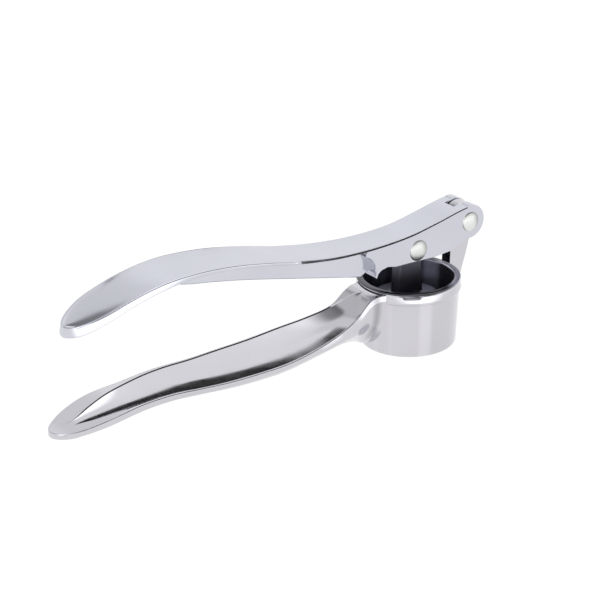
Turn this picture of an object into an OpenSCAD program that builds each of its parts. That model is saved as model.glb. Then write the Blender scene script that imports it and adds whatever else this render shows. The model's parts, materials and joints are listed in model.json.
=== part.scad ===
// Hand-held garlic press, rebuilt from separate pieces, in millimetres.
// The origin is halfway along the press at the level of the flat underside of the cup.
// Z is up, +X points to the hinge and the handle tips point to -X. The shapes below are
// drawn about the cup's own axis and each piece is then moved by cup_x to its place.
// The lever is drawn a little above fully closed.

/* [Overall] */

// Length from the handle tips to the back of the hinge knuckle
overall_length = 150; // [130:1:180]
// Width across the collar at the top of the cup
cup_diameter = 31.2; // [28:0.2:36]
// Height of the cup with the strainer flange seated on it
cup_height = 20.7; // [18:0.1:24]

/* [Cup] */

// Outer radius of the cup just under its collar
cup_wall_top_radius = 15; // [14:0.1:16]
// Outer radius of the cup near its foot
cup_wall_foot_radius = 14.2; // [13.6:0.1:15]
// Height at which the raised collar starts
collar_start = 16.8; // [14:0.1:18]
// Radius of the tapered bore at the mouth
bore_top_radius = 14; // [13.3:0.05:14.2]
// Radius of the tapered bore where it meets the ledge
bore_foot_radius = 13.3; // [12.8:0.05:13.5]
// Radius of the outlet opening inside the ledge
outlet_radius = 12.1; // [11:0.1:12.3]
// Height of the ledge that the strainer stands on
ledge_height = 2.4; // [1.5:0.1:3.5]
// Depth of the two finger notches in the collar rim
notch_depth = 1.1; // [0.6:0.1:2]

/* [Hinge] */

// Distance of the hinge axis behind the centre of the cup
pivot_x = 18.85; // [17:0.05:21]
// Height of the hinge axis above the foot of the cup
pivot_z = 34.5; // [32:0.1:38]
// Radius of the rounded hinge knuckle on the lever
knuckle_radius = 5.15; // [4.5:0.05:6]
// Thickness of the hinge tongue on the body
tongue_thickness = 3.7; // [3:0.1:4.5]
// Width across the two ears of the lever
head_width = 10.7; // [9:0.1:12]
// Width of the slot between the ears
slot_width = 4.1; // [3.4:0.1:5]
// Radius of both rivet shanks
shank_radius = 2; // [1.5:0.05:2.5]
// Radius of the low domes on the hinge rivet
hinge_head_radius = 3; // [2.6:0.1:3.6]
// Radius of the taller domes on the plunger rivet
plunger_head_radius = 3.2; // [2.6:0.1:3.8]
// Radial running clearance around a rivet shank
running_clearance = 0.05; // [0.02:0.01:0.1]

/* [Plunger] */

// Position of the plunger pin along the length
pin_x = -0.75; // [-2:0.05:1]
// Height of the plunger pin with the lever as drawn
pin_z = 30.2; // [29:0.1:32]
// Distance from the pin to the pressing face
pin_to_face = 24; // [22:0.1:25]
// Radius of the pressing head
piston_radius = 10.8; // [10:0.1:11.6]
// Thickness of the pressing head
piston_height = 8.4; // [5:0.1:9]
// Shift of the pressing head away from the hinge
piston_offset = 0.2; // [0:0.1:1]

/* [Strainer] */

// Sheet thickness of the strainer wall
strainer_wall = 0.5; // [0.4:0.05:0.8]
// Thickness of the perforated strainer floor
strainer_floor = 0.8; // [0.5:0.1:1.2]
// Outer radius of the strainer flange
flange_radius = 15.3; // [14.6:0.1:15.5]
// Diameter of one strainer hole
hole_diameter = 1.6; // [1.2:0.1:2.2]
// Spacing between neighbouring strainer holes
hole_pitch = 2.6; // [2.2:0.1:3.2]
// Rings of holes around the middle one
hole_rings = 4; // [2:1:4]

/* [Handles] */

// Thickness of the lever plate at its edge
plate_thickness = 1.9; // [1.5:0.1:3]
// Rise of the lever plate along its middle line
plate_crown = 0.35; // [0:0.05:1]
// Thickness of the stiffening web under the lever
web_thickness = 4.3; // [3:0.1:6]
// Height of the outer rim of the lower handle
rim_height = 1.5; // [1:0.1:2.5]

/* [Hidden] */

$fn = 72;
eps = 0.05;
collar_radius = cup_diameter / 2;
flange_thickness = 0.65;
collar_top = cup_height - flange_thickness - 0.03;
tip_x = pivot_x + knuckle_radius - overall_length;
lever_tip_x = tip_x + 4.8;
cup_x = overall_length / 2 - pivot_x - knuckle_radius;
seat_z = ledge_height + 0.03;

// Lever plate: x, height of the top edge, half width.
lever_line = [
    [-126, 34.0, 7.0], [-119, 36.2, 7.0], [-110, 39.4, 7.1], [-101, 42.0, 7.3],
    [-92, 43.8, 7.6], [-84, 44.4, 7.9], [-76, 44.2, 8.0], [-67, 43.2, 8.0],
    [-56, 41.2, 7.85], [-44, 38.4, 7.6], [-32, 36.4, 6.9], [-22, 35.5, 6.25],
    [-12, 35.3, 5.8], [-3, 35.8, 5.4], [6, 37.3, 5.35], [14, 38.9, 5.35],
    [20, 39.8, 5.35]
];

// Lower handle: x, rim height, half width, half width of the trough, its depth, keel height.
handle_line = [
    [-130, 4.6, 8.8, 3.0, 0.0, 2.6], [-122, 6.2, 8.8, 2.8, 0.0, 4.3],
    [-117, 7.6, 8.8, 2.8, 0.1, 5.7], [-112, 8.8, 8.7, 2.9, 0.8, 6.0],
    [-105, 9.9, 8.5, 4.0, 1.1, 7.0], [-98, 10.4, 8.3, 5.3, 1.05, 7.5],
    [-90, 10.7, 8.9, 6.8, 1.18, 7.8], [-82, 10.4, 9.8, 8.1, 1.35, 7.3],
    [-73, 9.9, 10.3, 8.9, 1.42, 6.2], [-62, 9.85, 10.8, 9.5, 1.5, 5.6],
    [-52, 10.1, 10.8, 9.6, 1.45, 5.7], [-41, 11.3, 10.0, 8.8, 1.35, 7.1],
    [-31, 12.9, 8.5, 7.3, 1.25, 7.2], [-24, 15.1, 6.9, 5.7, 0.9, 5.6],
    [-19.5, 18.6, 6.3, 2.6, 0.4, 4.2], [-16.5, 19.7, 6.4, 2.6, 0.0, 3.4],
    [-11, 19.8, 6.6, 2.6, 0.0, 2.6]
];

// Smooth curve through one column of a station list.
function slot_of(s, x, i = 1) = (i >= len(s) - 1 || x < s[i][0]) ? i - 1 : slot_of(s, x, i + 1);
function slope_of(s, c, i) =
    let(a = max(i - 1, 0), b = min(i + 1, len(s) - 1)) (s[b][c] - s[a][c]) / (s[b][0] - s[a][0]);
function along(s, c, x) =
    let(
        i = slot_of(s, x),
        h = s[i + 1][0] - s[i][0],
        t = (x - s[i][0]) / h,
        m0 = slope_of(s, c, i) * h,
        m1 = slope_of(s, c, i + 1) * h
    )
    (2 * t * t * t - 3 * t * t + 1) * s[i][c] + (t * t * t - 2 * t * t + t) * m0
    + (3 * t * t - 2 * t * t * t) * s[i + 1][c] + (t * t * t - t * t) * m1;

// Narrowing of a handle over the rounded last stretch before its tip.
function tip_factor(x, tip, run) =
    x > tip + run ? 1 : sqrt(max(0.014, 1 - pow((tip + run - x) / run, 2)));

// Cross-section of the lever plate, as points across the width.
function plate_section(x) =
    let(
        w = along(lever_line, 2, x) * tip_factor(x, lever_tip_x, 14),
        z = along(lever_line, 1, x),
        b = z - plate_thickness
    )
    [
        for (u = [-1, -0.6, -0.2, 0.2, 0.6, 1]) [x, u * w, z + plate_crown * (1 - u * u)],
        [x, w, b + 0.3],
        [x, w - 0.15, b],
        [x, -w + 0.15, b],
        [x, -w, b + 0.3]
    ];

// Cross-section of the dished lower handle, as points across the width.
function handle_section(x) =
    let(
        f = tip_factor(x, tip_x, 19),
        w = along(handle_line, 2, x) * f,
        wi = min(along(handle_line, 3, x), 0.8 * w),
        d = max(0, along(handle_line, 4, x)),
        z = along(handle_line, 1, x),
        k = along(handle_line, 5, x),
        e = z - rim_height
    )
    [
        [x, -0.45 * w, 0.1 * e + 0.9 * k - 0.1],
        [x, -0.82 * w, 0.45 * e + 0.55 * k - 0.1],
        [x, -w, e],
        [x, -w, z],
        for (u = [-1, -0.75, -0.5, -0.2, 0.2, 0.5, 0.75, 1]) [x, u * wi, z - d * (1 - u * u)],
        [x, w, z],
        [x, w, e],
        [x, 0.82 * w, 0.45 * e + 0.55 * k - 0.1],
        [x, 0.45 * w, 0.1 * e + 0.9 * k - 0.1]
    ];

// Moves a piece from the cup's own axis to its place along the press.
module placed() {
    translate([cup_x, 0, 0])
    children();
}

// Solid skin through a list of sections that all have the same number of points.
module loft(sections) {
    n = len(sections[0]);
    m = len(sections);
    sides = [
        for (i = [0 : m - 2], j = [0 : n - 1])
            each [
                [i * n + j, (i + 1) * n + (j + 1) % n, (i + 1) * n + j],
                [i * n + j, i * n + (j + 1) % n, (i + 1) * n + (j + 1) % n]
            ]
    ];
    caps = [
        for (j = [1 : n - 2])
            each [[0, j + 1, j], [(m - 1) * n, (m - 1) * n + j, (m - 1) * n + j + 1]]
    ];
    polyhedron(points = [for (s = sections) each s], faces = concat(sides, caps));
}

// Flat outline in X and Z, given thickness across Y and centred on the middle plane.
module slab(outline, thickness) {
    translate([0, thickness / 2, 0])
    rotate([90, 0, 0])
    linear_extrude(thickness)
    polygon(outline);
}

// Cylinder lying across the press, centred on the middle plane.
module cross_cylinder(x, z, r, length) {
    translate([x, length / 2, z])
    rotate([90, 0, 0])
    cylinder(r = r, h = length);
}

module cup_shell() {
    rotate_extrude()
    polygon([
        [0, 0], [cup_wall_foot_radius - 1.1, 0], [cup_wall_foot_radius - 0.4, 0.35],
        [cup_wall_foot_radius, 1.2], [cup_wall_top_radius, collar_start],
        [collar_radius - 0.1, collar_start + 0.5], [collar_radius, collar_start + 1.2],
        [collar_radius, collar_top - 0.5], [collar_radius - 0.3, collar_top], [0, collar_top]
    ]);
}

module cup_bore() {
    taper = (bore_top_radius - bore_foot_radius) / (collar_top - ledge_height);
    rotate_extrude()
    polygon([
        [0, -1], [outlet_radius, -1], [outlet_radius, ledge_height],
        [bore_foot_radius, ledge_height], [bore_top_radius + 3 * taper, collar_top + 3],
        [0, collar_top + 3]
    ]);
}

module finger_notches() {
    for (side = [-1, 1])
        rotate([0, 0, side * 125])
        translate([bore_top_radius - 1, 0, collar_top])
        rotate([90, 0, 90])
        linear_extrude(4)
        polygon([[-3.8, 0.4], [-2.4, -notch_depth], [2.4, -notch_depth], [3.8, 0.4]]);
}

module hinge_post() {
    slab(
        [
            [14.5, 7.5], [14.5, pivot_z - 1.5], [pivot_x, pivot_z], [pivot_x + 3.7, pivot_z - 3],
            [21.5, 27.5], [18.6, 17], [16.3, 10.5]
        ],
        tongue_thickness
    );
    cross_cylinder(pivot_x, pivot_z, knuckle_radius - 0.25, tongue_thickness);
}

module lower_body() {
    color([0.76, 0.76, 0.79])
    placed()
    difference() {
        union() {
            cup_shell();
            hinge_post();
            loft([
                for (x = [tip_x, tip_x + 0.4, tip_x + 1.2, tip_x + 2.6, tip_x + 4.6]) handle_section(x),
                for (x = [tip_x + 7 : 3 : -33]) handle_section(x),
                for (x = [-31 : 1.5 : -11.5]) handle_section(x)
            ]);
        }
        cup_bore();
        finger_notches();
        cross_cylinder(pivot_x, pivot_z, shank_radius + running_clearance, tongue_thickness + 2);
    }
}

module lever_web() {
    slab(
        [
            [-91, 42.6], [-87, 41.1], [-82, 39.6], [-72, 37.7], [-60, 35.1], [-42, 30.7],
            [-27, 27.1], [-19.5, 25.3], [-14, 28], [-14, 34], [-26, 34.8], [-44, 37.4],
            [-60, 41], [-72, 42.8], [-84, 43.2]
        ],
        web_thickness
    );
}

module lever_cheeks() {
    slab(
        [
            for (a = [75 : -12.5 : 0]) [-22.5 + 6.15 * cos(a), 27.3 + 6.15 * sin(a)],
            [-16.3, 25.3], [-15.7, 26.5], [-14.6, 27.4], [-12.2, 27.9], [-9, 27.2], [-2, 27],
            [5.5, 26.6], [11.2, 27], [pivot_x - 0.9, pivot_z - knuckle_radius + 0.05],
            [pivot_x, pivot_z], [16.8, 38.6], [6, 36.5], [-3, 34.9], [-12, 34.4], [-22, 34.6]
        ],
        head_width
    );
}

module upper_lever() {
    color([0.8, 0.8, 0.84])
    placed()
    difference() {
        union() {
            loft([
                for (d = [0, 0.35, 1, 2.2, 4, 6.5]) plate_section(lever_tip_x + d),
                for (x = [lever_tip_x + 9.5 : 3 : 15]) plate_section(x),
                plate_section(17.4)
            ]);
            lever_web();
            lever_cheeks();
            cross_cylinder(pivot_x, pivot_z, knuckle_radius, head_width);
        }
        translate([-7, -slot_width / 2, 20])
        cube([40, slot_width, 14.5]);
        cross_cylinder(pivot_x, pivot_z, knuckle_radius + 0.85, slot_width);
        cross_cylinder(pivot_x, pivot_z, shank_radius, head_width + 4);
        cross_cylinder(pin_x, pin_z, shank_radius, head_width + 4);
    }
}

module plunger() {
    face_z = pin_z - pin_to_face;
    color([0.3, 0.3, 0.33])
    placed()
    difference() {
        union() {
            translate([pin_x - piston_offset, 0, face_z])
            rotate_extrude()
            polygon([
                [0, 0], [piston_radius - 0.8, 0], [piston_radius - 0.2, 0.3], [piston_radius, 0.9],
                [piston_radius, piston_height - 1.2], [piston_radius - 0.3, piston_height - 0.4],
                [piston_radius - 1.1, piston_height], [7, piston_height + 0.2],
                [5, piston_height + 0.9], [0, piston_height + 1.2]
            ]);
            slab(
                [
                    [pin_x - 4.8, face_z + 6], [pin_x - 3.8, pin_z - 5], [pin_x - 3.8, pin_z],
                    [pin_x + 3.8, pin_z], [pin_x + 3.8, pin_z - 5], [pin_x + 4.8, face_z + 6]
                ],
                slot_width - 0.2
            );
            cross_cylinder(pin_x, pin_z, 3.85, slot_width - 0.2);
        }
        cross_cylinder(pin_x, pin_z, shank_radius + running_clearance, slot_width + 2);
    }
}

module strainer_basket() {
    color([0.7, 0.71, 0.73])
    placed()
    difference() {
        rotate_extrude()
        polygon([
            [0, seat_z], [12.5, seat_z], [bore_foot_radius - 0.1, seat_z + 0.6],
            [bore_top_radius - 0.1, collar_top - 0.2], [bore_top_radius - 0.05, collar_top + 0.03],
            [flange_radius, collar_top + 0.03], [flange_radius + 0.15, cup_height - 0.3],
            [flange_radius - 0.1, cup_height], [bore_top_radius - 0.3, cup_height],
            [bore_top_radius - 0.1 - strainer_wall, cup_height - 0.5],
            [bore_foot_radius - 0.1 - strainer_wall, seat_z + strainer_floor],
            [0, seat_z + strainer_floor]
        ]);
        translate([14.2, -tongue_thickness / 2 - 0.3, 19])
        cube([4, tongue_thickness + 0.6, 4]);
        for (i = [-hole_rings : hole_rings], j = [-hole_rings : hole_rings])
            if (abs(i + j) <= hole_rings)
                translate([hole_pitch * (i + j / 2), hole_pitch * j * sqrt(3) / 2, seat_z - 1])
                cylinder(d = hole_diameter, h = strainer_floor + 2, $fn = 20);
    }
}

// Rivet lying across the press: a plain shank with a low dome on both ends.
module rivet(x, z, head_radius, dome) {
    half = head_width / 2;
    side = [
        [1.1, 0.92], [2.1, 0.66], [2.8, 0.3], [3.1, 0]
    ];
    k = head_radius / 3.1;
    translate([x, 0, z])
    rotate([90, 0, 0])
    rotate_extrude()
    polygon([
        [0, -half - dome],
        for (p = side) [k * p[0], -half - dome * p[1]],
        [shank_radius, -half], [shank_radius, half],
        for (i = [3 : -1 : 0]) [k * side[i][0], half + dome * side[i][1]],
        [0, half + dome]
    ]);
}

module hinge_rivet() {
    color([0.88, 0.87, 0.83])
    placed()
    rivet(pivot_x, pivot_z, hinge_head_radius, 0.7);
}

module plunger_rivet() {
    color([0.88, 0.87, 0.83])
    placed()
    rivet(pin_x, pin_z, plunger_head_radius, 1);
}

lower_body();
upper_lever();
plunger();
strainer_basket();
hinge_rivet();
plunger_rivet();
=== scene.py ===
import json
import math

import bmesh
import bpy
import numpy as np
from mathutils import Matrix, Vector


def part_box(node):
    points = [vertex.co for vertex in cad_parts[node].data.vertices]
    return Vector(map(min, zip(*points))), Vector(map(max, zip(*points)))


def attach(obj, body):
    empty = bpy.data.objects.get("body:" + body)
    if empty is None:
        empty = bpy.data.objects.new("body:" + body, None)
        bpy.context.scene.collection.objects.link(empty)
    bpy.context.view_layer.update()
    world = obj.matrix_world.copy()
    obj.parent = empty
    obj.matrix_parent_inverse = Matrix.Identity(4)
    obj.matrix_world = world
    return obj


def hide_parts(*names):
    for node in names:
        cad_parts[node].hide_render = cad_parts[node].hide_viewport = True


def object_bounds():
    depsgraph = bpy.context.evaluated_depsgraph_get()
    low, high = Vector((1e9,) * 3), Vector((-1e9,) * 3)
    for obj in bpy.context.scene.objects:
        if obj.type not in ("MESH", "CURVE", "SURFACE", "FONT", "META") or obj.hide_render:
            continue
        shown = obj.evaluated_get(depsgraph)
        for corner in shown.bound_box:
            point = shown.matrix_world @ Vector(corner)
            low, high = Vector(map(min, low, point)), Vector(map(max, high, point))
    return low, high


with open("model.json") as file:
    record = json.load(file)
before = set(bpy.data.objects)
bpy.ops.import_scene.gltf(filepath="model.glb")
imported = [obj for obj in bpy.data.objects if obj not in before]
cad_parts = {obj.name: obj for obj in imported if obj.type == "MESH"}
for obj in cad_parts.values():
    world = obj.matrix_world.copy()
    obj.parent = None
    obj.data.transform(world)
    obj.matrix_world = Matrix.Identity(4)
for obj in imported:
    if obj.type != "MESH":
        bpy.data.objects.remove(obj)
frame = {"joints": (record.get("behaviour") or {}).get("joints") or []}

cad_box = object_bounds()
scene = bpy.context.scene
scene.view_settings.view_transform = "Standard"

# Shapes are drawn in millimetres about the cup's axis, then moved to the frame.
# The pivot is the lever's hinge and the pin is the rivet that holds the plunger.
JOINT = {j["name"]: Vector(j["pos_m"]) * 1000 for j in frame["joints"]}
PIVOT_X, PIVOT_Z = 18.85, JOINT["lever_hinge"].z
CUP_X = JOINT["lever_hinge"].x - PIVOT_X
PIN_X, PIN_Z = JOINT["plunger_swing"].x - CUP_X, JOINT["plunger_swing"].z
TIP_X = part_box("lower_body")[0].x * 1000 - CUP_X
LEVER_TIP_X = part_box("upper_lever")[0].x * 1000 - CUP_X
CUP_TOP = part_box("strainer_basket")[1].z * 1000
SEAT_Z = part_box("strainer_basket")[0].z * 1000
FLANGE_HEIGHT = 0.68
COLLAR_TOP = CUP_TOP - FLANGE_HEIGHT
TO_FRAME = Matrix.Scale(0.001, 4) @ Matrix.Translation((CUP_X, 0, 0))


# -------------------------------------------------------------- numbers, curves
def blend(value, start, end):
    """0 before the start, 1 after the end and even in between."""
    return min(1.0, max(0.0, (value - start) / (end - start)))


def curve(stations, column):
    """Smooth function of x through one column of a station list."""
    xs = np.array([s[0] for s in stations], float)
    ys = np.array([s[column] for s in stations], float)
    m = np.empty_like(ys)
    m[1:-1] = (ys[2:] - ys[:-2]) / (xs[2:] - xs[:-2])
    m[0] = (ys[1] - ys[0]) / (xs[1] - xs[0])
    m[-1] = (ys[-1] - ys[-2]) / (xs[-1] - xs[-2])

    def at(x):
        x = np.clip(x, xs[0], xs[-1])
        i = np.clip(np.searchsorted(xs, x, side="right") - 1, 0, len(xs) - 2)
        h = xs[i + 1] - xs[i]
        t = (x - xs[i]) / h
        return (
            (2 * t**3 - 3 * t**2 + 1) * ys[i]
            + (t**3 - 2 * t**2 + t) * m[i] * h
            + (3 * t**2 - 2 * t**3) * ys[i + 1]
            + (t**3 - t**2) * m[i + 1] * h
        )

    return at


def arc(cx, cz, r, start, end, count):
    """Points on an arc, with its angles in degrees."""
    angles = np.radians(np.linspace(start, end, count))
    return [(cx + r * math.cos(a), cz + r * math.sin(a)) for a in angles]


def rounded(points, radii):
    """Polygon with its corners rounded, each by its own radius."""
    steps = 5
    out = []
    for i, (corner, r) in enumerate(zip(points, radii)):
        p = Vector(corner)
        if r <= 0:
            out.append(tuple(p))
            continue
        a, b = Vector(points[i - 1]) - p, Vector(points[(i + 1) % len(points)]) - p
        cut = min(r / math.tan(a.angle(b) / 2), 0.45 * a.length, 0.45 * b.length)
        start, end = p + a.normalized() * cut, p + b.normalized() * cut
        for t in (k / steps for k in range(steps + 1)):
            out.append(tuple(start * (1 - t) ** 2 + p * 2 * t * (1 - t) + end * t * t))
    return out


# ---------------------------------------------------------------- mesh tools
def mesh_object(name, bm):
    bmesh.ops.recalc_face_normals(bm, faces=bm.faces)
    mesh = bpy.data.meshes.new(name)
    bm.to_mesh(mesh)
    bm.free()
    obj = bpy.data.objects.new(name, mesh)
    scene.collection.objects.link(obj)
    return obj


def skin(rows):
    """Closed skin over rows of points, each row a closed ring."""
    bm = bmesh.new()
    grid = [[bm.verts.new(p) for p in row] for row in rows]
    n = len(rows[0])
    for a, b in zip(grid, grid[1:]):
        for j in range(n):
            k = (j + 1) % n
            bm.faces.new((a[j], a[k], b[k], b[j]))
    bm.faces.new(grid[0])
    bm.faces.new(grid[-1])
    bmesh.ops.remove_doubles(bm, verts=bm.verts, dist=1e-4)
    bmesh.ops.dissolve_degenerate(bm, dist=1e-5, edges=bm.edges)
    return bm


def turned(profile, steps):
    """Solid of revolution about Z; the profile starts and ends on the axis."""
    bm = bmesh.new()
    angles = [2 * math.pi * k / steps for k in range(steps)]
    rings = []
    for r, z in profile:
        if r < 1e-6:
            rings.append([bm.verts.new((0, 0, z))])
        else:
            rings.append([bm.verts.new((r * math.cos(a), r * math.sin(a), z)) for a in angles])
    for a, b in zip(rings, rings[1:]):
        for k in range(steps):
            j = (k + 1) % steps
            corners = [a[k % len(a)], a[j % len(a)], b[j % len(b)], b[k % len(b)]]
            bm.faces.new(list(dict.fromkeys(corners)))
    return bm


def slab(outline, thickness, edge):
    """Plate in the XZ plane, centred on the middle plane, with its long edges rounded by edge."""
    bm = bmesh.new()
    half = thickness / 2
    near = [bm.verts.new((x, -half, z)) for x, z in outline]
    far = [bm.verts.new((x, half, z)) for x, z in outline]
    n = len(outline)
    bm.faces.new(near)
    bm.faces.new(far)
    for i in range(n):
        j = (i + 1) % n
        bm.faces.new((near[i], near[j], far[j], far[i]))
    bmesh.ops.recalc_face_normals(bm, faces=bm.faces)
    if edge:
        rims = [e for e in bm.edges if abs(e.verts[0].co.y - e.verts[1].co.y) < 1e-6]
        bmesh.ops.bevel(
            bm, geom=rims, offset=edge, segments=4, profile=0.5, affect="EDGES", clamp_overlap=True,
        )
    return bm


def moved(bm, matrix):
    bmesh.ops.transform(bm, matrix=matrix, verts=bm.verts)
    return bm


def combine(base, tools, operation="UNION"):
    """Boolean of a base, an object or a bmesh, with tools held as bmesh; gives one object."""
    result = base if isinstance(base, bpy.types.Object) else mesh_object("base", base)
    for tool in [mesh_object("tool", bm) for bm in tools]:
        mod = result.modifiers.new("join", "BOOLEAN")
        mod.operation = operation
        mod.solver = "MANIFOLD"
        mod.object = tool
        graph = bpy.context.evaluated_depsgraph_get()
        mesh = bpy.data.meshes.new_from_object(result.evaluated_get(graph))
        result.modifiers.clear()
        result.data = mesh
        bpy.data.objects.remove(tool)
    return result


def finish_piece(obj, name, body, material, node):
    """Moves a drawn piece into the frame, puts it under its body and hides the part it stands in for."""
    obj.name = name
    obj.data.name = name
    obj.data.transform(TO_FRAME)
    obj.data.polygons.foreach_set("use_smooth", [True] * len(obj.data.polygons))
    obj.data.set_sharp_from_angle(angle=math.radians(33))
    obj.data.materials.clear()
    obj.data.materials.append(material)
    mod = obj.modifiers.new("even shading", "WEIGHTED_NORMAL")
    mod.mode = "FACE_AREA"
    mod.keep_sharp = True
    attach(obj, body)
    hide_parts(node)
    return obj


# ----------------------------------------------------------------- node tools
def feed(tree, socket, value):
    """Links an output to a socket, or sets the socket to a plain value."""
    if isinstance(value, bpy.types.NodeSocket):
        tree.links.new(value, socket)
    else:
        socket.default_value = value


def calculation(tree, kind, operation, values):
    """Math or vector math node with its inputs filled in order."""
    node = tree.nodes.new(kind)
    node.operation = operation
    for socket, value in zip(node.inputs, values):
        feed(tree, socket, value)
    return node


def number(tree, operation, *values):
    """Result of a calculation with numbers."""
    return calculation(tree, "ShaderNodeMath", operation, values).outputs["Value"]


def vector(tree, operation, *values, result="Vector"):
    """Result of a calculation with vectors."""
    return calculation(tree, "ShaderNodeVectorMath", operation, values).outputs[result]


def scaled(tree, source, factor):
    """A colour or vector times a number."""
    node = tree.nodes.new("ShaderNodeVectorMath")
    node.operation = "SCALE"
    feed(tree, node.inputs["Vector"], source)
    feed(tree, node.inputs["Scale"], factor)
    return node.outputs["Vector"]


def map_range(tree, value, start, end, low=0.0, high=1.0, kind="SMOOTHSTEP"):
    """Goes from low to high as the value goes from start to end."""
    node = tree.nodes.new("ShaderNodeMapRange")
    node.interpolation_type = kind
    node.inputs["From Min"].default_value = start
    node.inputs["From Max"].default_value = end
    node.inputs["To Min"].default_value = low
    node.inputs["To Max"].default_value = high
    feed(tree, node.inputs["Value"], value)
    return node.outputs["Result"]


def towards(azimuth, elevation=0.0):
    """Unit vector towards an azimuth and an elevation in degrees."""
    a, e = math.radians(azimuth), math.radians(elevation)
    return math.cos(a) * math.cos(e), math.sin(a) * math.cos(e), math.sin(e)


def noise(tree, place, scale, detail):
    """Soft noise between 0 and 1."""
    node = tree.nodes.new("ShaderNodeTexNoise")
    node.inputs["Scale"].default_value = scale
    node.inputs["Detail"].default_value = detail
    feed(tree, node.inputs["Vector"], place)
    return node.outputs["Fac"]


def bumps(tree, height, strength, distance, under=None):
    """Normal bent by a height, on top of another bent normal if there is one."""
    node = tree.nodes.new("ShaderNodeBump")
    node.inputs["Strength"].default_value = strength
    node.inputs["Distance"].default_value = distance
    feed(tree, node.inputs["Height"], height)
    if under:
        feed(tree, node.inputs["Normal"], under)
    return node.outputs["Normal"]


# ------------------------------------------------------------------ materials
def paint_reflection_bands(tree, place, colour, painted_bands):
    """Colour with painted reflections: upright lighter or darker streaks, each (azimuth, half width, gain,
    reach from the cup's axis, fade).
    """
    if not painted_bands:
        return colour
    from_axis = vector(tree, "MULTIPLY_ADD", place, (1, 1, 0), (-CUP_X / 1000, 0, 0))
    distance = vector(tree, "LENGTH", from_axis, result="Value")
    unit = vector(tree, "NORMALIZE", from_axis)
    for azimuth, width, gain, reach, fade in painted_bands:
        facing = vector(tree, "DOT_PRODUCT", unit, towards(azimuth), result="Value")
        outer, inner = math.cos(math.radians(width)), math.cos(math.radians(width * 0.25))
        band = map_range(tree, facing, outer, inner, 0.0, gain)
        near = map_range(tree, distance, reach / 1000, (reach - fade) / 1000)
        colour = scaled(tree, colour, number(tree, "MULTIPLY_ADD", band, near, 1.0))
    return colour


def paint_facing_shade(tree, normal, colour, painted_shades):
    """Colour with painted shade on the faces that look a given way, each (direction, start, end, gain)."""
    for direction, start, end, gain in painted_shades:
        facing = vector(tree, "DOT_PRODUCT", normal, direction, result="Value")
        shade = map_range(tree, facing, start, end, 0.0, gain)
        colour = scaled(tree, colour, number(tree, "ADD", shade, 1.0))
    return colour


def metal(name, colour, rough, spread=0.04, tint=0.03, brushed=None, bump=0.12, wave=0.0, painted_bands=(),
          painted_shades=()):
    """Metal with drifting tone, uneven polish, a fine surface grain, and any painted reflection streaks
    and painted shade it is given.
    """
    mat = bpy.data.materials.new(name)
    mat.use_nodes = True
    tree = mat.node_tree
    shader = tree.nodes["Principled BSDF"]
    shader.inputs["Metallic"].default_value = 1.0
    coords = tree.nodes.new("ShaderNodeTexCoord")
    place = coords.outputs["Object"]
    stretched = tree.nodes.new("ShaderNodeMapping")
    stretched.inputs["Scale"].default_value = brushed or (1, 1, 1)
    feed(tree, stretched.inputs["Vector"], place)
    along_grain = stretched.outputs["Vector"]

    tone = tree.nodes.new("ShaderNodeValToRGB")
    dark, pale = tone.color_ramp.elements
    dark.position, pale.position = 0.3, 0.7
    dark.color = (*[c * (1 - tint) for c in colour], 1)
    pale.color = (*[min(1, c * (1 + tint)) for c in colour], 1)
    feed(tree, tone.inputs["Fac"], noise(tree, place, scale=38, detail=2))
    painted = paint_reflection_bands(tree, place, tone.outputs["Color"], painted_bands)
    painted = paint_facing_shade(tree, coords.outputs["Normal"], painted, painted_shades)
    feed(tree, shader.inputs["Base Color"], painted)

    grain = noise(tree, along_grain, scale=900 if brushed else 260, detail=4)
    polish = map_range(tree, grain, 0.3, 0.7, rough - spread, rough + spread, "LINEAR")
    feed(tree, shader.inputs["Roughness"], polish)

    waves = None
    if wave:
        waves = bumps(tree, noise(tree, place, scale=90, detail=1), wave, distance=0.0002)
    scratches = noise(tree, along_grain, scale=2600, detail=2)
    fine = bumps(tree, scratches, bump, distance=0.00002, under=waves)
    feed(tree, shader.inputs["Normal"], fine)
    return mat


BRUSHED = (1, 1, 6)
# The cup's colour carries painted reflections: upright darker and lighter streaks round its wall and the
# handle's root.
CHROME = metal("cast_chrome", (0.6, 0.59, 0.625), 0.11, spread=0.025, bump=0.05, wave=0.03,
               painted_bands=[(200, 14, -0.34, 20, 2.2), (200, 14, 0.5, 17.8, 1.8), (251, 10, 0.12, 16.6, 0.5),
                      (276, 24, -0.05, 16.6, 0.5)])
LEVER_CHROME = metal("lever_chrome", (0.605, 0.61, 0.67), 0.14, spread=0.025, bump=0.05, wave=0.02)
# The plunger's near-black colour is painted shade, standing for the dark inside of the cup's mouth.
PLUNGER_SHADE = metal("plunger_painted_shade", (0.17, 0.17, 0.21), 0.42, tint=0.1)
# The basket's near-black colour is painted shade, and its strong upright streak is a painted highlight on
# the flange's right side.
SHADED_BASKET_STEEL = metal("basket_steel_painted_shade", (0.09, 0.09, 0.105), 0.2, spread=0.03, brushed=BRUSHED, bump=0.06,
              painted_bands=[(328, 52, 5.0, 20, 0.5)])
# The inner wall and floor are near-black with painted shade, with two lighter upright streaks painted as
# highlights.
SHADED_INNER_WALL = metal("basket_inner_wall_painted_shade", (0.1, 0.1, 0.125), 0.42, brushed=BRUSHED, bump=0.06,
              painted_bands=[(20, 16, 4.0, 20, 0.5), (92, 14, 1.0, 20, 0.5)])
OUTER = metal("basket_outer_wall", (0.55, 0.55, 0.58), 0.22, spread=0.03, brushed=BRUSHED, bump=0.06)
# The rivets' domes get painted shade: darker on their right and a dark rim low on their left.
RIVET = metal("rivet_steel", (0.75, 0.76, 0.74), 0.4, tint=0.02, bump=0.03,
              painted_shades=[((0.95, 0, 0.3), 0.02, 0.4, -0.42), ((-0.85, 0, -0.5), 0.38, 0.6, -0.6)])


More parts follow.
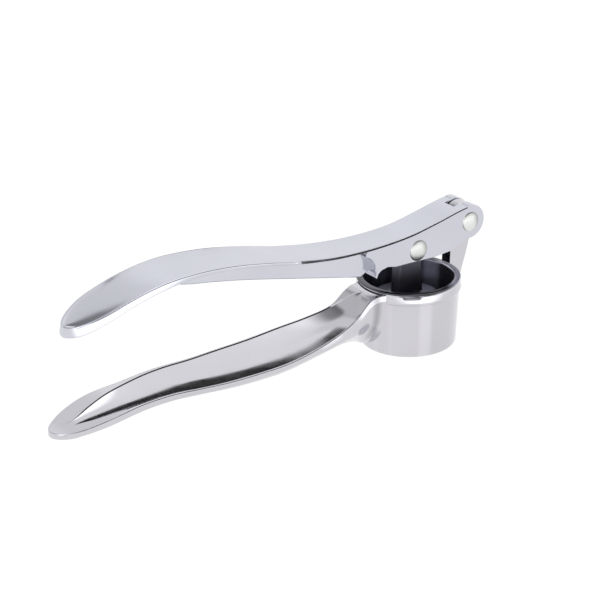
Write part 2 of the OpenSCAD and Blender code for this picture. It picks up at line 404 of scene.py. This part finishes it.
# ---------------------------------------------------------- what handles share
def stations(tip, run, width, end, step):
    """Places along a handle whose tip rounds off over a run.

    Each is x and a function that gives the point of the outline moved inwards by a distance.
    """
    turn = np.radians(np.linspace(0, 90, 19))[:-1]
    xs = np.concatenate([tip + run * (1 - np.cos(turn)), np.arange(tip + run, end, step), [end]])
    narrow = np.where(xs < tip + run, np.sqrt(np.clip(1 - ((tip + run - xs) / run) ** 2, 0, 1)), 1)
    widths = width(xs) * narrow
    tx, tw = np.gradient(xs), np.gradient(widths)
    tx[0], tw[0] = 0.0, 1.0
    size = np.hypot(tx, tw)

    def inwards(x, w, nx, ny):
        return lambda distance: (x + nx * distance, max(0.0, w - ny * distance))

    return [(row[0], inwards(*row)) for row in zip(xs, widths, tw / size, tx / size)]


def round_edge(at, start, r, z, angles):
    """Points round an edge about height z, from a start in from the outline; angles in degrees."""
    points = []
    for a in np.radians(angles):
        px, py = at(start + r * (1 - math.cos(a)))
        points.append((px, -py, z + r * math.sin(a)))
    return points


def ring(near, far):
    """Ring from two half sections, both drawn on the near side from the bottom to the top."""
    return near + [(x, -y, z) for x, y, z in far[-2:0:-1]]


UPPER_EDGE = (0, 18, 36, 54, 72, 90)

# --------------------------------------------------------------- lower handle
# x, rim height, half width, half width of the dish, depth of the dish, keel height, wall height, roundness
HANDLE = [
    (-130, 5.6, 8.8, 2.6, 0.0, 3.4, 1.5, 0.12), (-122, 6.5, 8.8, 1.3, 0.0, 4.5, 1.6, 0.12),
    (-118.8, 7.3, 8.8, 0.25, 0.1, 5.3, 1.6, 0.12), (-112, 8.8, 8.7, 2.3, 0.8, 6.0, 1.8, 0.12),
    (-105, 9.9, 8.5, 4.3, 1.1, 7.0, 1.8, 0.12), (-98, 10.4, 8.3, 5.8, 1.05, 7.5, 1.7, 0.12),
    (-90, 10.7, 8.9, 7.2, 1.18, 7.8, 1.6, 0.12), (-82, 10.4, 9.8, 8.5, 1.35, 7.3, 1.4, 0.15),
    (-73, 9.9, 10.3, 9.25, 1.42, 6.2, 1.2, 0.2), (-62, 9.85, 10.8, 9.9, 1.5, 5.6, 1.0, 0.35),
    (-52, 10.1, 10.8, 9.9, 1.4, 5.7, 0.9, 0.38), (-41, 11.3, 10.0, 9.1, 1.3, 6.6, 1.1, 0.36),
    (-31, 12.9, 8.35, 7.5, 1.2, 6.7, 1.8, 0.36), (-24, 15.1, 6.75, 5.5, 0.75, 5.4, 2.5, 0.3),
    (-19.5, 18.6, 6.3, 2.2, 0.4, 4.4, 2.6, 0.2), (-17.6, 19.5, 6.32, 0.3, 0.05, 3.4, 2.8, 0.2),
    (-15.2, 19.85, 6.55, 0.5, 0.0, 2.9, 2.9, 0.2), (-13.6, 19.85, 7.1, 0.8, 0.0, 2.7, 3.0, 0.2),
    (-12.4, 19.85, 8.0, 1.0, 0.0, 2.6, 3.0, 0.2), (-10.5, 19.85, 9.2, 1.5, 0.0, 2.6, 3.0, 0.2),
]
RIM_Z, HALF_W, DISH_W, DISH_D, KEEL_Z, WALL, ROUND = (curve(HANDLE, c) for c in range(1, 8))
# The dish starts wider on its near side: x, half width of the dish on that side.
DISH_NEAR = [
    (-123, 0.5), (-118.8, 2.4), (-112, 5.6), (-105, 7.1), (-98, 7.7), (-90, 8.2), (-82, 9.0),
    (-73, 9.4), (-62, 9.9),
]
DISH_NEAR_W = curve(DISH_NEAR, 1)
DISH_ALIKE_X = DISH_NEAR[-1][0]
# Places across the dish, as parts of its half width.
DISH_PARTS = (1.0, 0.985, 0.96, 0.92, 0.86, 0.78, 0.7, 0.6, 0.5, 0.4, 0.32, 0.25, 0.18, 0.12, 0.06, 0.0)
# The belly lies a set distance inside the outline, up to an angle in degrees.
BELLY_INSET, BELLY_END = 1.4, 32.8
# Radius of the rim's edge, height of the flat band under it, and how far the edge leans in.
RIM_RADIUS, RIM_BAND, RIM_DRAFT = 0.36, 1.6, 0.3
# Depth of the lip round the dish, and how far the dish's sides flare towards the tip.
LIP, FLARE = 0.32, 0.22
# How far the lip runs in for its depth, and the flare that replaces it on the near side of the tip.
LIP_RUN, NEAR_FLARE = 0.75, 0.55


def handle_outside(x, at, rim):
    """Half section from the keel round the belly to the foot of the rim's rounded edge."""
    belly_x, belly_w = at(BELLY_INSET)
    wall = WALL(belly_x)
    foot = rim - wall
    depth = foot - KEEL_Z(belly_x)
    taper = 1 + 0.3 * blend(x, -30, -22)
    points = []
    for a in np.radians([90, 80, 70, 60, 50, 41, 33]):
        reach = belly_w * (math.cos(a) / math.cos(math.radians(BELLY_END))) ** taper
        points.append((belly_x, -reach, foot - depth * math.sin(a)))
    for a in np.radians([25, 18, 12, 6, 0]):
        px, py = at(HALF_W(x) * (1 - math.cos(a)))
        points.append((px, -py, foot - depth * math.sin(a)))
    band = min(RIM_BAND, wall - RIM_RADIUS - 0.1)
    px, py = at(0)
    return points + [(px, -py, rim - RIM_RADIUS - band * part) for part in (0.99, 0.9)]


def handle_section(x, at):
    """Ring across the lower handle, with a rounded rim and the dish sunk between its sides."""
    rim = RIM_Z(at(0.5)[0])
    draft = RIM_DRAFT * blend(x, -48, -32)
    outside = handle_outside(x, at, rim)
    outside += round_edge(at, draft, RIM_RADIUS, rim - RIM_RADIUS, UPPER_EDGE)
    top_x, top_w = at(draft + RIM_RADIUS + 0.02)
    depth = max(0.0, DISH_D(top_x))
    c = ROUND(top_x)

    def dish(width, lip, flare):
        """Half of the dish: a lip, then a floor between a V and a bowl, with flared sides."""
        width = min(width, top_w - 0.3, 0.96 * top_w)
        run = LIP_RUN * lip
        side = [(top_x, -(top_w + width + run) / 2, rim), (top_x, -width - run, rim)]
        for part in DISH_PARTS:
            rise = (math.hypot(part, c) - c) / (math.hypot(1, c) - c)
            sunk = lip + (depth - lip - flare) * (1 - rise) + flare * (1 - part**3)
            side.append((top_x, -width * part, rim - sunk))
        return side

    lip = LIP * blend(depth, 0, 0.6)
    flare = FLARE * blend(x, -52, -62) * min(1.0, depth - lip)
    tip = blend(x, -80, -95)
    far_width = DISH_W(top_x)
    near_width = max(far_width, DISH_NEAR_W(top_x)) if top_x < DISH_ALIKE_X else far_width
    near = outside + dish(near_width, lip * (1 - tip), flare + NEAR_FLARE * depth * tip)
    return ring(near, outside + dish(far_width, lip, flare))


# ------------------------------------------------------------- cup and its post
FOOT_R, CUP_R, COLLAR_R = 14.2, 15.0, 15.6
CUP_STEPS = 200


def cup_body():
    """Solid cup: rounded foot, tapered wall and the collar."""
    foot_top, wall_height = 1.05, 15.5
    profile = [
        (0, 0), (FOOT_R - 1.0, 0), (FOOT_R - 0.62, 0.08), (FOOT_R - 0.3, 0.3), (FOOT_R - 0.1, 0.62),
        (FOOT_R, foot_top),
    ]
    profile += [
        (FOOT_R + (CUP_R - FOOT_R) * t, foot_top + wall_height * t) for t in (0.2, 0.4, 0.6, 0.8, 1.0)
    ]
    profile += [
        (15.03, 16.75), (15.12, 16.92), (15.27, 17.06), (15.44, 17.2), (15.55, 17.4),
        (COLLAR_R, 17.65), (15.56, 17.95), (15.3, 19.55), (15.24, 19.8), (15.12, 20.0),
        (14.95, COLLAR_TOP), (0, COLLAR_TOP),
    ]
    return turned(profile, CUP_STEPS)


def cup_bore():
    """Cutter for the bore, with the ledge that the basket sits on."""
    ledge_r, ledge_z = 12.1, 2.4
    profile = [
        (0, -1), (ledge_r, -1), (ledge_r, ledge_z), (13.3, ledge_z),
        (14.0, COLLAR_TOP - 0.3), (14.3, COLLAR_TOP + 0.02), (14.5, 26), (0, 26),
    ]
    return turned(profile, CUP_STEPS)


def notch(side):
    """Cutter for the finger notch on one side of the collar."""
    outline = [(-4.4, 1.0), (-3.4, -0.1), (-2.4, -1.1), (2.4, -1.1), (3.4, -0.1), (4.4, 1.0)]
    cutter = slab(rounded(outline, [0, 0.3, 0.3, 0.3, 0.3, 0]), thickness=4.0, edge=0)
    across = Matrix.Rotation(math.radians(90), 4, "Z")
    outwards = Matrix.Translation((15.2, 0, COLLAR_TOP))
    spin = Matrix.Rotation(math.radians(side * 125), 4, "Z")
    return moved(cutter, spin @ outwards @ across)


def post():
    """Hinge post that rises from the cup to the pivot."""
    inner = [(13.5, 7.5), (13.5, PIVOT_Z - 4)]
    outer = [(22.2, 28.8), (21.5, 26.6), (20.5, 23), (19.3, 19.3), (18.0, 15.2), (16.6, 11.4), (15.2, 8.4)]
    return slab(inner + arc(PIVOT_X, PIVOT_Z, 4.9, 170, -32, 40) + outer, thickness=3.7, edge=0.4)


handle_stations = stations(TIP_X, run=20, width=HALF_W, end=-10.6, step=0.7)
handle = skin([handle_section(x, at) for x, at in handle_stations])
lower = combine(handle, [cup_body(), post()])
lower = combine(lower, [cup_bore(), notch(1), notch(-1)], "DIFFERENCE")
finish_piece(lower, "lower_casting", "body", CHROME, "lower_body")

# ---------------------------------------------------------------------- lever
# x, height of the top edge, half width, thickness of the edge, fall to the web, lean of the edge, crown
LEVER = [
    (-126, 34.5, 7.6, 2.8, 0.0, 0.15, 0.4), (-119, 36.8, 7.7, 2.9, 0.0, 0.17, 0.42),
    (-110, 40.0, 7.9, 2.4, 0.0, 0.17, 0.42), (-101, 42.6, 8.05, 2.15, 0.1, 0.16, 0.28),
    (-92, 44.25, 8.15, 1.9, 0.3, 0.12, 0.1), (-84, 44.7, 8.3, 1.55, 0.6, 0.03, 0.05),
    (-76, 44.35, 8.25, 1.3, 0.9, 0.0, 0.04), (-67, 43.3, 8.15, 1.2, 1.0, 0.0, 0.04),
    (-56, 41.2, 7.9, 1.05, 1.0, 0.0, 0.04), (-48, 39.3, 7.7, 1.0, 1.0, 0.0, 0.04),
    (-45, 38.65, 7.58, 0.86, 1.0, 0.95, 0.04), (-40, 37.7, 7.4, 0.78, 1.0, 0.95, 0.04),
    (-32, 36.4, 6.9, 0.7, 1.0, 0.95, 0.04), (-22, 35.5, 6.25, 0.62, 0.9, 0.95, 0.04),
    (-12, 35.3, 5.8, 0.56, 0.8, 0.95, 0.04), (-3, 35.8, 5.6, 0.52, 0.6, 0.95, 0.04),
    (6, 37.3, 5.6, 0.48, 0.6, 0.95, 0.04), (14, 38.9, 5.55, 0.46, 0.6, 0.95, 0.04),
    (20, 39.8, 5.45, 0.45, 0.6, 0.9, 0.04),
]
TOP_Z, PLATE_W, PLATE_T, FALL, LEAN, CROWN = (curve(LEVER, c) for c in range(1, 7))
LEAN_START_X = -46
# x, height of the web's lower edge
WEB_LOW = [
    (-93, 42.5), (-89, 41.5), (-85, 40.1), (-80, 38.8), (-72, 37.4), (-60, 34.95), (-42, 30.7),
    (-27, 27.1), (-19.5, 25.3),
]
CHEEK_WIDTH, SLOT_WIDTH = 10.7, 4.1


def lever_section(x, at):
    """Ring across the lever's plate: thicker in the middle, with a low crown and a leaning edge."""
    side_x, side_w = at(0.3)
    top, thick, fall = TOP_Z(side_x), PLATE_T(side_x), FALL(side_x)
    r = 0.34 if x < LEAN_START_X else 0.12
    lean = LEAN(side_x) * (thick - 2 * r)
    near = []
    for part in (0.0, 0.12, 0.25, 0.35, 0.5, 0.65, 0.8, 0.95):
        drop = fall * (1 - blend(part, 0.2, 1) ** 1.5) + (0.25 if part < 0.9 else 0.1)
        near.append((side_x, -side_w * part, top - thick - drop + 0.1))
    near += round_edge(at, 0, r, top - thick + r, (-90, -60, -30, 0))
    near += round_edge(at, lean, r, top - r, UPPER_EDGE)
    top_x, top_w = at(0.6 + lean)
    for part in (0.99, 0.93, 0.86, 0.78, 0.68, 0.58, 0.46, 0.34, 0.22, 0.1, 0.0):
        near.append((top_x, -top_w * part, top + CROWN(side_x) * (1 - part**2.6)))
    return ring(near, near)


def under_plate(start, end, count, sunk):
    """Points along the lever, a little below the top of its plate."""
    return [(x, TOP_Z(x) - sunk) for x in np.linspace(start, end, count)]


def lever_web():
    """Rib under the middle of the plate."""
    low = curve(WEB_LOW, 1)
    points = [(x, low(x)) for x in np.linspace(WEB_LOW[0][0], WEB_LOW[-1][0], 90)]
    points += [(-14, 28), (-14, 34)] + under_plate(-18, -92.5, 70, 0.5)
    return slab(points, thickness=4.3, edge=0.5)


def lever_cheeks():
    """Block that carries both rivets: a hollow end, a wavy lower edge and the round knuckle."""
    lower_edge = [
        (-16.45, 25.45), (-16.2, 25.2), (-15.7, 26.5), (-14.6, 27.4), (-12.2, 27.9), (-9, 27.2),
        (-2, 27), (5.5, 26.6), (11.2, 27), (PIVOT_X - 0.9, PIVOT_Z - 5.1),
    ]
    points = arc(-22.5, 27.3, 6.15, 70, -16, 20)
    points += rounded(lower_edge, [0, 0.05, 0.3, 1.5, 1.5, 1.5, 1.5, 1.5, 1.0, 0])
    points += arc(PIVOT_X, PIVOT_Z, 5.15, -96, 96, 48)
    points += under_plate(17, -19.6, 46, 0.3)
    return slab(points, thickness=CHEEK_WIDTH, edge=0.3)


def fork_slot():
    """Cutters for the slot that the post and the plunger's lug stand in."""
    straight = [(-7, 20), (33, 20), (33, 34.5), (-7, 34.5)]
    end = arc(PIVOT_X, PIVOT_Z, 6.0, 0, 354, 60)
    return [slab(points, SLOT_WIDTH, edge=0) for points in (straight, end)]


lever_stations = stations(LEVER_TIP_X, run=14, width=PLATE_W, end=17.6, step=0.8)
plate = skin([lever_section(x, at) for x, at in lever_stations])
lever = combine(combine(plate, [lever_web(), lever_cheeks()]), fork_slot(), "DIFFERENCE")
finish_piece(lever, "lever_casting", "lever", LEVER_CHROME, "upper_lever")


# -------------------------------------------------------------------- plunger
FACE_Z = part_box("plunger")[0].z * 1000
PISTON_R = (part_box("plunger")[1].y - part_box("plunger")[0].y) * 500
PISTON_OFFSET = 0.2


def piston():
    """Pressing head: rounded edges and a low cone up to the lug."""
    lower_edge = [(PISTON_R - 0.9, 0), (PISTON_R - 0.45, 0.12), (PISTON_R - 0.12, 0.45), (PISTON_R, 0.9)]
    upper_edge = [
        (PISTON_R, 7.2), (PISTON_R - 0.1, 7.6), (PISTON_R - 0.4, 7.95), (PISTON_R - 0.9, 8.25),
        (PISTON_R - 1.6, 8.4),
    ]
    cone = [(7.5, 8.55), (6.2, 8.8), (5, 9.2), (3.5, 9.5), (0, 9.6)]
    bm = turned([(0, 0)] + lower_edge + upper_edge + cone, 160)
    return moved(bm, Matrix.Translation((PIN_X - PISTON_OFFSET, 0, FACE_Z)))


def lug():
    """Flat lug that rises from the head to the pin."""
    side = [(4.9, FACE_Z + 6), (4.4, FACE_Z + 11), (3.9, PIN_Z - 4)]
    left = [(PIN_X - out, z) for out, z in side]
    right = [(PIN_X + out, z) for out, z in reversed(side)]
    return slab(left + arc(PIN_X, PIN_Z, 3.85, 180, 0, 30) + right, thickness=3.9, edge=0.35)


plunger = combine(piston(), [lug()])
finish_piece(plunger, "plunger_casting", "plunger", PLUNGER_SHADE, "plunger")

# --------------------------------------------------------------------- basket
BASKET_FLOOR = 0.8
HOLE_R, HOLE_PITCH, HOLE_RINGS = 0.8, 2.6, 4


def basket_shell():
    """Pressed cup with a rolled flange that rests on the collar."""
    floor_top = SEAT_Z + BASKET_FLOOR
    outside = [
        (0, SEAT_Z), (12.3, SEAT_Z), (12.9, SEAT_Z + 0.15), (13.2, SEAT_Z + 0.6),
        (13.88, COLLAR_TOP - 0.3), (13.95, COLLAR_TOP - 0.08), (14.1, COLLAR_TOP + 0.03),
    ]
    flange = [
        (15.15, COLLAR_TOP + 0.03), (15.36, COLLAR_TOP + 0.13), (15.45, CUP_TOP - 0.32),
        (15.36, CUP_TOP - 0.12), (15.15, CUP_TOP), (13.9, CUP_TOP),
    ]
    inside = [
        (13.62, CUP_TOP - 0.1), (13.45, CUP_TOP - 0.35), (13.38, CUP_TOP - 0.8),
        (12.72, floor_top + 0.4), (12.6, floor_top + 0.1), (12.3, floor_top), (0, floor_top),
    ]
    return turned(outside + flange + inside, CUP_STEPS)


def drain_holes():
    """Cutters for the round holes, in hexagonal rings about the middle one."""
    bm = bmesh.new()
    for i in range(-HOLE_RINGS, HOLE_RINGS + 1):
        for j in range(-HOLE_RINGS, HOLE_RINGS + 1):
            if abs(i + j) > HOLE_RINGS:
                continue
            x, y = HOLE_PITCH * (i + j / 2), HOLE_PITCH * j * math.sqrt(3) / 2
            bmesh.ops.create_cone(
                bm, cap_ends=True, segments=28, radius1=HOLE_R, radius2=HOLE_R, depth=3,
                matrix=Matrix.Translation((x, y, SEAT_Z + BASKET_FLOOR / 2)),
            )
    return bm


def paint_walls(obj):
    """Second material, with painted shade and painted highlight streaks, on the inner wall and the floor;
    third on the outer wall.
    """
    obj.data.materials.append(SHADED_INNER_WALL)
    obj.data.materials.append(OUTER)
    for face in obj.data.polygons:
        spot = face.center * 1000 - Vector((CUP_X, 0, 0))
        outwards = face.normal.x * spot.x + face.normal.y * spot.y
        faces_axis = outwards < -0.3 * math.hypot(spot.x, spot.y)
        on_floor = face.normal.z > 0.5 and spot.z < SEAT_Z + 3 * BASKET_FLOOR
        if spot.z < CUP_TOP - 0.3 and (faces_axis or on_floor):
            face.material_index = 1
        elif spot.z < COLLAR_TOP:
            face.material_index = 2


post_gap = slab([(14.2, 19), (19, 19), (19, 23), (14.2, 23)], thickness=4.3, edge=0)
basket = combine(basket_shell(), [drain_holes(), post_gap], "DIFFERENCE")
finish_piece(basket, "strainer_basket_pressed", "body", SHADED_BASKET_STEEL, "strainer_basket")
paint_walls(basket)


# --------------------------------------------------------------------- rivets
def rivet(x, z, head_r, dome, name, node):
    """Rivet across the press: a shank and a round dome on each end."""
    half, shank_r, dome_angle = CHEEK_WIDTH / 2, 2.0, 1.25
    low = math.cos(dome_angle)
    ends = [
        (head_r * math.sin(t) / math.sin(dome_angle), dome * (math.cos(t) - low) / (1 - low))
        for t in np.linspace(0, dome_angle, 14)
    ]
    profile = [(r, half + rise) for r, rise in ends]
    profile += [(shank_r, half - 0.05), (shank_r, -half + 0.05)]
    profile += [(r, -half - rise) for r, rise in reversed(ends)]
    bm = turned(profile, 72)
    moved(bm, Matrix.Translation((x, 0, z)) @ Matrix.Rotation(math.radians(90), 4, "X"))
    finish_piece(mesh_object(name, bm), name, "lever", RIVET, node)


rivet(PIVOT_X, PIVOT_Z, 3.0, 0.7, "rivet_hinge", "hinge_rivet")
rivet(PIN_X, PIN_Z, 3.2, 0.75, "rivet_plunger", "plunger_rivet")


# ---------------------------------------------------------------------- floor
def floor_material():
    """Pale floor that glows, more strongly in front of the press."""
    mat = bpy.data.materials.new("pale_floor")
    mat.use_nodes = True
    tree = mat.node_tree
    tree.nodes.clear()
    coords = tree.nodes.new("ShaderNodeTexCoord")
    split = tree.nodes.new("ShaderNodeSeparateXYZ")
    feed(tree, split.inputs["Vector"], coords.outputs["Object"])
    glow = tree.nodes.new("ShaderNodeEmission")
    strength = map_range(tree, split.outputs["Y"], -0.11, -0.16, 0.98, 1.8, "LINEAR")
    feed(tree, glow.inputs["Strength"], strength)
    dull = tree.nodes.new("ShaderNodeBsdfDiffuse")
    dull.inputs["Color"].default_value = (0.06, 0.06, 0.06, 1)
    both = tree.nodes.new("ShaderNodeAddShader")
    feed(tree, both.inputs[0], glow.outputs["Emission"])
    feed(tree, both.inputs[1], dull.outputs["BSDF"])
    out = tree.nodes.new("ShaderNodeOutputMaterial")
    feed(tree, out.inputs["Surface"], both.outputs["Shader"])
    return mat


floor_bm = bmesh.new()
bmesh.ops.create_grid(floor_bm, x_segments=40, y_segments=40, size=2.2)
floor = mesh_object("studio_floor", floor_bm)
floor.location = (0, 0, -0.00005)
floor.data.materials.append(floor_material())

# ------------------------------------------------------------- world and lamps
# height of the direction, brightness of the sky there
SKY = [(-1.0, 0.9), (0.0, 1.0), (0.3, 1.03), (0.5, 1.08), (0.75, 1.12), (0.9, 1.15), (1.0, 1.15)]
# Dark patches that the metal mirrors: azimuth, elevation, cosine at the rim, cosine inside, how dark.
PATCHES = [
    (321, 43, 0.915, 0.945, 0.95),
    (275, 52, 0.78, 0.9, 0.95),
    (114, 40, 0.9, 0.98, 0.35),
    (98, 62, 0.93, 0.98, 0.7),
    (79, 38, 0.955, 0.99, 0.18),
]


def studio_world():
    """Soft studio: a bright sky with a dark wedge on the horizon, dark patches and one glow."""
    world = bpy.data.worlds.new("studio")
    scene.world = world
    world.use_nodes = True
    tree = world.node_tree
    way = tree.nodes.new("ShaderNodeTexCoord").outputs["Generated"]

    def along(azimuth, elevation=0.0):
        return vector(tree, "DOT_PRODUCT", way, towards(azimuth, elevation), result="Value")

    def dim(value, mask, amount):
        """value times (1 - amount * mask)"""
        kept = number(tree, "SUBTRACT", 1.0, number(tree, "MULTIPLY", mask, amount))
        return number(tree, "MULTIPLY", value, kept)

    split = tree.nodes.new("ShaderNodeSeparateXYZ")
    feed(tree, split.inputs["Vector"], way)
    up = split.outputs["Z"]
    sky = tree.nodes.new("ShaderNodeValToRGB")
    ramp = sky.color_ramp
    ramp.interpolation = "LINEAR"
    while len(ramp.elements) < len(SKY):
        ramp.elements.new(0.5)
    for element, (height, level) in zip(ramp.elements, SKY):
        element.position = (height + 1) / 2
        element.color = (level / 2, level / 2, level / 2, 1)
    feed(tree, sky.inputs["Fac"], number(tree, "DIVIDE", number(tree, "ADD", up, 1.0), 2.0))
    light = number(tree, "MULTIPLY", sky.outputs["Color"], 2.0)

    turn = along(140.5)
    tilt = number(tree, "SUBTRACT", up, number(tree, "MULTIPLY", turn, 1.05))
    wedge = map_range(tree, turn, -0.01, 0.03)
    wedge = number(tree, "MULTIPLY", wedge, map_range(tree, tilt, 0.17, 0.145))
    wedge = number(tree, "MULTIPLY", wedge, map_range(tree, turn, 0.33, 0.28))
    light = dim(light, wedge, 0.97)
    for azimuth, elevation, rim, inside, amount in PATCHES:
        light = dim(light, map_range(tree, along(azimuth, elevation), rim, inside), amount)
    glow = map_range(tree, along(38, 59), 0.955, 0.99)
    light = number(tree, "ADD", light, number(tree, "MULTIPLY", glow, 0.8))
    background = tree.nodes["Background"]
    background.inputs["Color"].default_value = (0.985, 0.99, 1.0, 1)
    feed(tree, background.inputs["Strength"], light)


def softbox(name, where, size, power):
    """Square lamp that looks at the press."""
    lamp = bpy.data.lights.new(name, "AREA")
    lamp.shape = "SQUARE"
    lamp.size = size
    lamp.energy = power
    obj = bpy.data.objects.new(name, lamp)
    obj.location = where
    aim = Vector((0, 0, 0.02)) - Vector(where)
    obj.rotation_euler = aim.to_track_quat("-Z", "Y").to_euler()
    scene.collection.objects.link(obj)


studio_world()
softbox("key_softbox", (-0.75, -0.1, 0.9), 0.5, 2.0)
softbox("top_softbox", (0.1, -0.05, 1.3), 0.6, 1.5)

# --------------------------------------------------------------------- camera
# Direction, aim and lens were fitted to the photograph.
TO_CAMERA = Vector((-0.5549, -0.7300, 0.3988)).normalized()
CAMERA_DISTANCE = 0.9
centre = (cad_box[0] + cad_box[1]) / 2
target = Vector((centre.x + 0.01089, centre.y, 0.02298))
camera = bpy.data.objects.new("camera", bpy.data.cameras.new("camera"))
camera.data.lens = 188.3
camera.data.sensor_width = 36.0
camera.data.clip_start = 0.05
camera.data.clip_end = 10.0
camera.location = target + TO_CAMERA * CAMERA_DISTANCE
camera.rotation_mode = "QUATERNION"
camera.rotation_quaternion = (-TO_CAMERA).to_track_quat("-Z", "Y")
scene.collection.objects.link(camera)
scene.camera = camera
